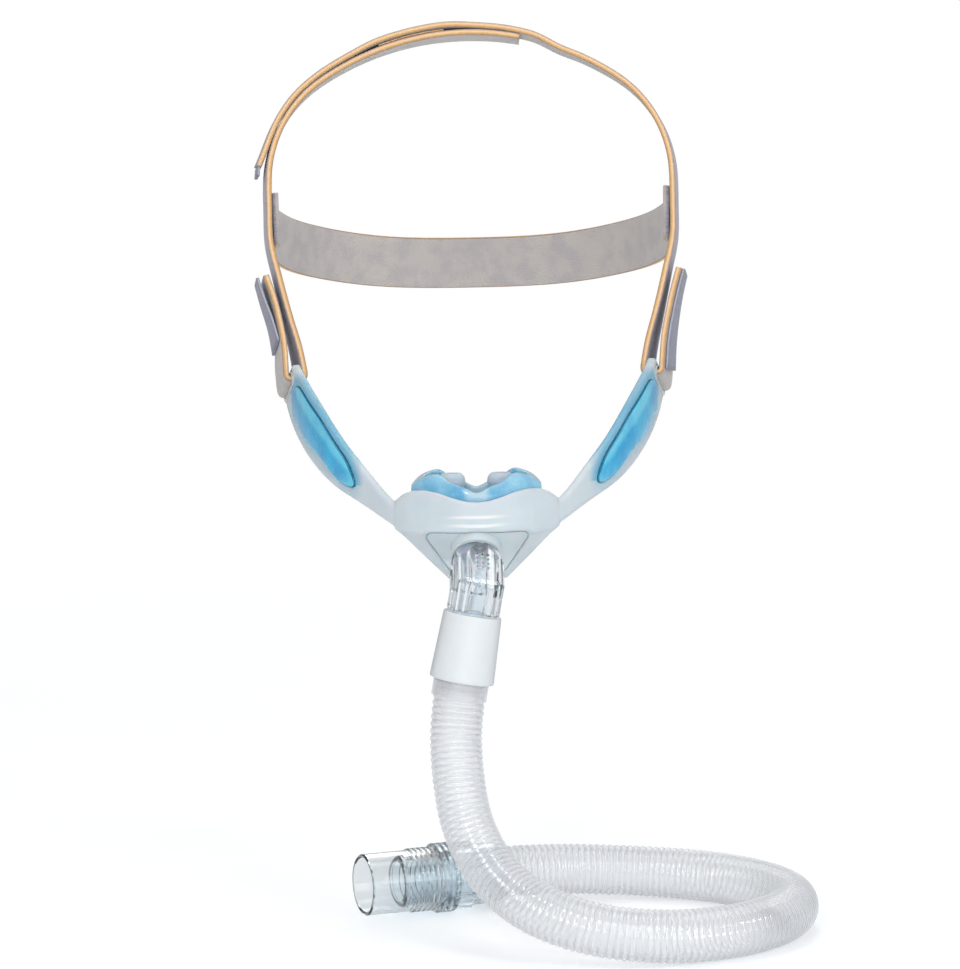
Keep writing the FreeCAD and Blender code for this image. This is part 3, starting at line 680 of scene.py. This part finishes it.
def hosePlastic(name, values):
    # Thin milky walls with a gloss over them: the far side's ribs show faintly through the near side
    graph = Graph(name)
    height = graph.attribute("rib")
    cloud = graph.noise(55.0, 3.0)
    base = graph.mix(graph.spread(cloud, 0.3, 0.7), values["color"], scaled(values["color"], 0.97))
    # Painted shade: the grooves between the ribs take the deeper colour
    tint = graph.mix(graph.spread(height, 0.0, 0.8), values["deep"], base)
    facing = graph.node("ShaderNodeLayerWeight", {"Blend": 0.4}).outputs["Facing"]
    plain = {"Base Color": tint, "Roughness": 0.5, "IOR": 1.5}
    matt = graph.node("ShaderNodeBsdfPrincipled", plain).outputs["BSDF"]
    passed = graph.node("ShaderNodeBsdfTranslucent", {"Color": tint}).outputs["BSDF"]
    milky = graph.shaders(0.35, matt, passed)
    clear = graph.node("ShaderNodeBsdfTransparent", {"Color": (0.988, 0.99, 0.995, 1.0)}).outputs["BSDF"]
    share = graph.spread(facing, 0.05, 0.9, values["lowShare"], values["highShare"])
    wall = graph.shaders(share, clear, milky)
    gloss = {"Color": pureWhite, "Roughness": values["roughness"]}
    shine = graph.node("ShaderNodeBsdfAnisotropic", gloss).outputs["BSDF"]
    return graph.finish(graph.shaders(graph.spread(facing, 0.2, 1.0, 0.06, 0.25), wall, shine))


def plainPlastic(name, values):
    # Slightly see-through white, with painted shade that greys it towards its outline
    graph = Graph(name)
    color = values["color"]
    cloud = graph.noise(260.0, 3.0)
    tint = graph.ramp(cloud, [(0.3, color), (0.75, scaled(color, 0.975))])
    facing = graph.node("ShaderNodeLayerWeight", {"Blend": 0.5}).outputs["Facing"]
    # Painted shade: the colour darkens towards the outline
    tint = graph.mix(graph.spread(facing, 0.35, 0.95), tint, scaled(color, values["outline"]))
    fine = graph.noise(2200.0, 2.0)
    shader = graph.node("ShaderNodeBsdfPrincipled", {
        "Base Color": tint,
        "Roughness": values["roughness"],
        "IOR": 1.48,
        "Subsurface Weight": 0.1,
        "Subsurface Scale": 0.002,
        "Normal": graph.bump(fine, 0.05, 0.0001, graph.softEdge(values["edgeRadius"])),
    })
    return graph.finish(shader.outputs["BSDF"])


def laminate(name, values):
    # Knitted cloth on both sides of a foam core; the cut edges show the layers, with a painted highlight
    # where the strap's edge ramp is palest
    graph = Graph(name)
    across = graph.attribute("across")
    through = graph.attribute("through")
    along = graph.attribute("along")
    sideways = graph.math("MULTIPLY", across, 0.009)
    threads = graph.node("ShaderNodeCombineXYZ", {0: along, 1: sideways, 2: 0.0}).outputs["Vector"]
    weave = {"Vector": threads, "Scale": values["weave"], "Randomness": 0.75}
    loops = graph.node("ShaderNodeTexVoronoi", weave).outputs["Distance"]
    knit = graph.spread(loops, 0.1, 0.8)
    outside = graph.mix(knit, values["face"], values["faceDark"])
    cloth = graph.mix(graph.spread(through, -0.4, 0.4), values["inner"], outside)
    cloud = graph.noise(130.0, 4.0, 0.6)
    cloth = graph.mix(graph.spread(cloud, 0.35, 0.7, 0.0, 0.35), cloth, values["faceDark"])
    wall = {"Value": through, "From Min": -1.0, "From Max": 1.0}
    layer = graph.node("ShaderNodeMapRange", wall).outputs["Result"]
    stray = graph.math("MULTIPLY", graph.math("SUBTRACT", graph.noise(700.0, 3.0), 0.5), 0.16)
    edge = graph.ramp(graph.math("ADD", layer, stray), values["edgeStops"])
    cut = graph.spread(graph.math("ABSOLUTE", across), 0.952, 0.975)
    shader = graph.node("ShaderNodeBsdfPrincipled", {
        "Base Color": graph.mix(cut, cloth, edge),
        "Roughness": 0.9,
        "Sheen Weight": 0.25,
        "Sheen Roughness": 0.5,
        "Normal": graph.bump(knit, 0.3, 0.0003),
    })
    return graph.finish(shader.outputs["BSDF"])


makeCamera(cameraValues)
makeFloor(stageValues)
makeWorld(stageValues)
for light in lights:
    addLight(light)
print("stage done")

hoseLook = {
    "color": srgb(0.985, 0.985, 0.99),
    # The deep colour is the painted shade in the grooves between ribs
    "deep": srgb(0.87, 0.88, 0.89),
    "roughness": 0.12,
    "lowShare": 0.17,
    "highShare": 0.70,
}
hose = makeHose(hoseValues)
paint(hose, hosePlastic("hoseFinish", hoseLook))
print("hose done")

# Headgear: the colours of a cut edge run from the side on the head to the outer side; the palest stop is a
# painted highlight along the strap's edge
strapLook = {
    "face": srgb(0.74, 0.72, 0.75),
    "faceDark": srgb(0.60, 0.58, 0.63),
    "inner": srgb(0.76, 0.73, 0.71),
    "weave": 1500.0,
    "edgeStops": [
        (0.00, srgb(0.52, 0.46, 0.40)),
        (0.14, srgb(0.74, 0.59, 0.42)),
        (0.38, srgb(0.89, 0.69, 0.46)),
        # Painted highlight along the strap's cut edge
        (0.60, srgb(0.96, 0.82, 0.65)),
        (0.80, srgb(0.84, 0.69, 0.55)),
        (1.00, srgb(0.58, 0.52, 0.50)),
    ],
}
hookLook = {
    "face": srgb(0.62, 0.62, 0.68),
    "faceDark": srgb(0.48, 0.48, 0.55),
    "inner": srgb(0.60, 0.60, 0.66),
    "weave": 1900.0,
    "edgeStops": [
        (0.00, srgb(0.50, 0.50, 0.56)),
        (0.30, srgb(0.66, 0.66, 0.72)),
        (0.50, srgb(0.72, 0.72, 0.77)),
        (0.70, srgb(0.62, 0.62, 0.68)),
        (1.00, srgb(0.50, 0.50, 0.56)),
    ],
}
creamLook = {
    "face": srgb(0.90, 0.82, 0.74),
    "faceDark": srgb(0.82, 0.74, 0.66),
    "inner": srgb(0.90, 0.82, 0.74),
    "weave": 1900.0,
    "edgeStops": strapLook["edgeStops"],
}
strapRight, flatRight = stripPiece("strapRightCloth", "strap_right", "mask", clothValues)
strapLeft, flatLeft = stripPiece("strapLeftCloth", "strap_left", "mask", clothValues)
backStrap, flatBack = stripPiece("backStrapCloth", "back_strap", "mask", clothValues)
strapFinish = laminate("strapFinish", strapLook)
for piece in (strapRight, strapLeft, backStrap):
    paint(piece, strapFinish)
hookTabRight, _ = stripPiece("hookTabRight", "hook_tab_right", "mask", clothValues)
hookTabLeft, _ = stripPiece("hookTabLeft", "hook_tab_left", "mask", clothValues)
crownHookStrip, _ = stripPiece("crownHookStrip", "crown_hook_strip", "mask", clothValues)
crownEndTab, _ = stripPiece("crownEndTab", "crown_end_tab", "mask", clothValues)
hookFinish = laminate("hookFinish", hookLook)
for piece in (hookTabRight, hookTabLeft, crownEndTab):
    paint(piece, hookFinish)
paint(crownHookStrip, laminate("creamFinish", creamLook))
print("straps", [tuple(round(c, 4) for c in flat) for flat in (flatRight, flatLeft, flatBack)])

# Gel pads: how far their faces are crowned, and where they turn pale along and across
padValues = {
    "voxel": 0.00045,
    "passes": 4,
    "crown": 0.0009,
    "crownRise": 3.0,
    "paleAlong": {"start": 0.3, "slope": 1.3, "most": 0.7},
    "paleAcross": {"start": 0.15, "slope": 2.2, "most": 0.6},
}
padLook = {
    "bright": srgb(0.10, 0.72, 0.90),
    "middle": srgb(0.02, 0.64, 0.85),
    "edge": srgb(0.06, 0.48, 0.62),
    "pale": srgb(0.46, 0.85, 0.94),
    "speck": srgb(0.78, 0.93, 0.98),
    "roughness": 0.18,
}


def rising(place, values):
    return np.clip((place - values["start"]) * values["slope"], 0, 1) * values["most"]


def makePad(name, nodeName, values):
    pad = softCopy(name, nodeName, values["voxel"], values["passes"])
    points = pointsOf(pad)
    centre = (points.max(0) + points.min(0)) / 2
    away = points - centre
    axes = np.linalg.svd(away - away.mean(0), full_matrices=False)[2]
    # The first axis runs down the arm and the second towards its upper edge
    axes[0] *= -np.sign(axes[0][2])
    axes[1] *= np.sign(axes[1] @ (-np.sign(centre[0]), 0.0, 1.0))
    local = away @ axes.T
    half = np.abs(local).max(0)
    down = local[:, 0] / half[0]
    up = local[:, 1] / half[1]
    out = local[:, 2] / half[2]
    inside = np.clip(1 - down ** 2 - up ** 2, 0, 1)
    lift = values["crown"] * inside * np.sign(out) * np.clip(np.abs(out) * values["crownRise"], 0, 1)
    moved = points + np.outer(lift, axes[2])
    pad.data.vertices.foreach_set("co", moved.ravel())
    pad.data.update()
    normals = np.zeros(len(points) * 3)
    pad.data.vertices.foreach_get("normal", normals)
    writeAttribute(pad, "rimShade", 1 - np.abs(normals.reshape(-1, 3) @ axes[2]))
    writeAttribute(pad, "paleShade", rising(down, values["paleAlong"]) + rising(up, values["paleAcross"]))
    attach(pad, "mask")
    return pad


padRight = makePad("gelPadRight", "gel_pad_right", padValues)
padLeft = makePad("gelPadLeft", "gel_pad_left", padValues)
pads = [padRight, padLeft]
padFinish = gelFinish("padFinish", padLook)
for pad in pads:
    paint(pad, padFinish)
print("gel pads done")

# Silicone frame, with the gel's blue showing through the edge beside each pad as painted light, weaker
# below the pads
frameValues = {
    "voxel": 0.00048,
    "passes": 3,
    "glowReach": 0.0055,
    "glowGain": 1.6,
    "glowBelow": 0.25,
    "glowStep": 0.0002,
}
frameLook = {
    "color": srgb(0.855, 0.895, 0.915),
    "deep": srgb(0.82, 0.865, 0.89),
    "roughness": 0.24,
    "clear": 0.12,
    "edgeRadius": 0.0015,
    "glow": srgb(0.50, 0.75, 0.86),
    # The lines are painted highlight streaks: where they lie and how white they turn the colour
    "lines": {
        "pitch": 0.0030,
        "near": 0.002,
        "far": 0.014,
        "low": -0.0165,
        "high": -0.0045,
        "fade": 0.003,
        "strength": 0.9,
    },
}


def makeFrame(values):
    moulded = softCopy("frameMoulded", "mask_frame", values["voxel"], values["passes"])
    padPoints = np.concatenate([pointsOf(pad) for pad in pads])
    tree = KDTree(len(padPoints))
    for i, point in enumerate(padPoints):
        tree.insert(Vector(point), i)
    tree.balance()
    glow = []
    for point in pointsOf(moulded):
        near, _, apart = tree.find(Vector(point))
        fall = max(0.0, 1 - apart / values["glowReach"])
        # Painted light from the gel: full strength above the pad, a quarter of it below
        above = near.z < point[2] + values["glowStep"]
        glow.append(min(1.0, fall * values["glowGain"]) * (1.0 if above else values["glowBelow"]))
    writeAttribute(moulded, "gelGlow", glow)
    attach(moulded, "mask")
    return moulded


frameMoulded = makeFrame(frameValues)
paint(frameMoulded, softSilicone("siliconeFinish", frameLook))
print("frame done")

# Nasal cushion, its gel rim and the pillows
cushionValues = {"voxel": 0.0005, "passes": 3}
pillowValues = {"voxel": 0.0004, "passes": 3}
rimValues = {
    "voxel": 0.0004,
    "passes": 4,
    "shadeDepth": 0.009,
    "shadeMost": 0.6,
    "paleMiddle": 1.1,
    "paleHalf": 0.006,
    "paleFade": 0.05,
    "paleSide": 0.5,
}
cushionLook = {
    "color": srgb(0.82, 0.88, 0.91),
    "deep": srgb(0.78, 0.85, 0.89),
    "roughness": 0.30,
    "clear": 0.2,
    "edgeRadius": 0.0006,
}
rimLook = {
    "bright": srgb(0.58, 0.79, 0.88),
    "middle": srgb(0.40, 0.68, 0.83),
    "edge": srgb(0.34, 0.62, 0.78),
    "pale": srgb(0.74, 0.84, 0.88),
    "speck": srgb(0.78, 0.93, 0.98),
    "roughness": 0.2,
}


def shadeRim(piece, values):
    # Darker towards the lower edge, and paler in the middle and towards the left
    points = pointsOf(piece)
    below = (np.median(points[:, 2]) - points[:, 2]) / values["shadeDepth"]
    writeAttribute(piece, "rimShade", np.clip(below, 0, values["shadeMost"]))
    middle = np.clip(values["paleMiddle"] - np.abs(points[:, 0]) / values["paleHalf"], 0, 1)
    left = np.clip(-points[:, 0] / values["paleFade"], 0, values["paleSide"])
    writeAttribute(piece, "paleShade", middle + left)


cushion = softCopy("cushionShell", "cushion_body", cushionValues["voxel"], cushionValues["passes"])
rim = softCopy("gelRimSoft", "gel_rim", rimValues["voxel"], rimValues["passes"])
pillowLeft = softCopy("pillowLeft", "pillow_left", pillowValues["voxel"], pillowValues["passes"])
pillowRight = softCopy("pillowRight", "pillow_right", pillowValues["voxel"], pillowValues["passes"])
shadeRim(rim, rimValues)
for piece in (cushion, rim, pillowLeft, pillowRight):
    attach(piece, "mask")
cushionFinish = softSilicone("cushionFinish", cushionLook)
for piece in (cushion, pillowLeft, pillowRight):
    paint(piece, cushionFinish)
paint(rim, gelFinish("rimFinish", rimLook))
print("cushion done")

# Pieces whose CAD form stays
# Painted light: the clip's silicone is lighter and clearer than the frame's, making up for the shade on its
# downward slope
clipLook = {
    "color": srgb(0.93, 0.96, 0.975),
    "deep": srgb(0.90, 0.94, 0.96),
    "roughness": 0.22,
    "clear": 0.3,
    "edgeRadius": 0.0006,
}
elbowLook = {"color": srgb(0.955, 0.975, 0.99), "roughness": 0.03, "edgeRadius": 0.0007, "waves": 0.06}
collarLook = {"color": srgb(0.925, 0.955, 0.97), "roughness": 0.03, "edgeRadius": 0.0004, "waves": 0.06}
sleeveLook = {"color": srgb(0.975, 0.985, 0.99), "roughness": 0.03, "edgeRadius": 0.0004, "waves": 0.06}
topRingLook = {
    "color": srgb(0.985, 0.985, 0.99),
    "deep": srgb(0.97, 0.975, 0.98),
    "roughness": 0.12,
    "lowShare": 0.12,
    "highShare": 0.6,
}
# The cuff's outline value sets how dark its painted shade at the outline is
cuffLook = {"color": srgb(0.89, 0.905, 0.915), "roughness": 0.35, "edgeRadius": 0.0004, "outline": 0.72}
clipFinish = softSilicone("clipFinish", clipLook)
clearFinish = clearPlastic("clearFinish", collarLook)
finishes = {
    "slot_insert_left": clipFinish,
    "slot_insert_right": clipFinish,
    "elbow_clip": clipFinish,
    "elbow": clearPlastic("elbowFinish", elbowLook),
    "elbow_snap_ring": clearFinish,
    "swivel_cuff": plainPlastic("cuffFinish", cuffLook),
    "hose_top_ring": hosePlastic("ringFinish", topRingLook),
    "hose_end_cuff": clearFinish,
    "swivel_collar": clearFinish,
    "connector_sleeve": clearPlastic("sleeveFinish", sleeveLook),
}
for nodeName, finish in finishes.items():
    paint(nodes[nodeName], finish)
print("finishes done")
